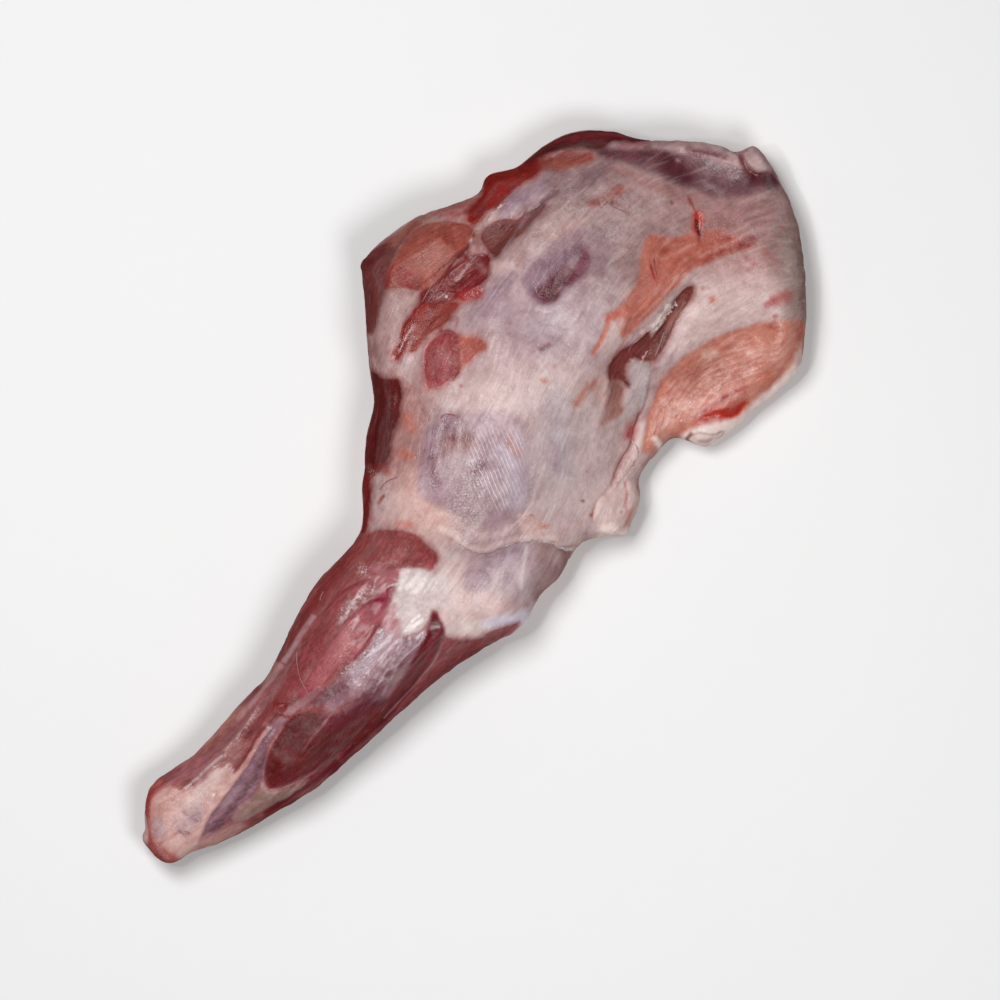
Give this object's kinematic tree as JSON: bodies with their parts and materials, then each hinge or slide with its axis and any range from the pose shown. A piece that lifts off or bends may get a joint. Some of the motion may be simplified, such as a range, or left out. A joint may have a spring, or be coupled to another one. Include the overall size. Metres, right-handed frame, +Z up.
{
  "type": "raw mutton shoulder",
  "caption": "Raw bone-in mutton shoulder with its shank: broad blade end with ragged edges and a breast flap, tapering forearm with muscle bellies, cut knee joint.",
  "frame": {"origin": "middle of the shoulder's bounding box, on the surface that it lies on", "axes": "+X along the limb from the cut knee joint to the top of the blade, +Y across it towards the neck side, +Z up, from the inner side that it lies on to the outer side"},
  "size_m": [0.4658, 0.2072, 0.0743],
  "materials": {
    "raw_meat": "moist raw meat under pale fat and silvery membrane"
  },
  "bodies": {
    "root": {"mutton_shoulder": "raw_meat"}
  },
  "joints": []
}
